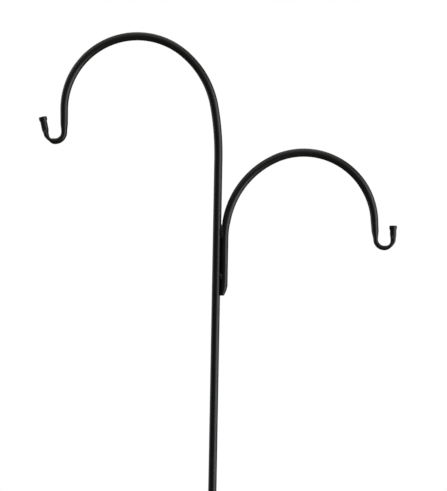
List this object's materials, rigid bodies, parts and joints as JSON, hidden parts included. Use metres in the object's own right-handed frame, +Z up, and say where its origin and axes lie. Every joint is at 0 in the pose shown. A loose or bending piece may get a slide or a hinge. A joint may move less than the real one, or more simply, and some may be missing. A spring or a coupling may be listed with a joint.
{
  "type": "double shepherd hook pole",
  "caption": "Black push-in garden pole of round steel bar: two offset arched arms facing opposite ways, each ending in a small outward hook, on a pronged step-in foot.",
  "frame": {"origin": "on the pole's axis at ground level, where the underside of the step rests on the soil", "axes": "+Z up along the pole, +X in the plane of the hooks towards the lower arm, Y across the thin side of the object"},
  "size_m": [0.5511, 0.0162, 2.134],
  "materials": {
    "black_paint": "satin black powder coat on steel bar, faint orange peel",
    "weld_paint": "rippled weld bead under the same black powder coat"
  },
  "bodies": {
    "root": {"main_pole": "black_paint", "side_arm": "black_paint", "step_prong": "black_paint", "arm_weld_upper_front": "weld_paint", "arm_weld_upper_back": "weld_paint", "arm_weld_lower_front": "weld_paint", "arm_weld_lower_back": "weld_paint", "step_weld_upper_front": "weld_paint", "step_weld_upper_back": "weld_paint", "step_weld_lower_front": "weld_paint", "step_weld_lower_back": "weld_paint"}
  },
  "joints": []
}
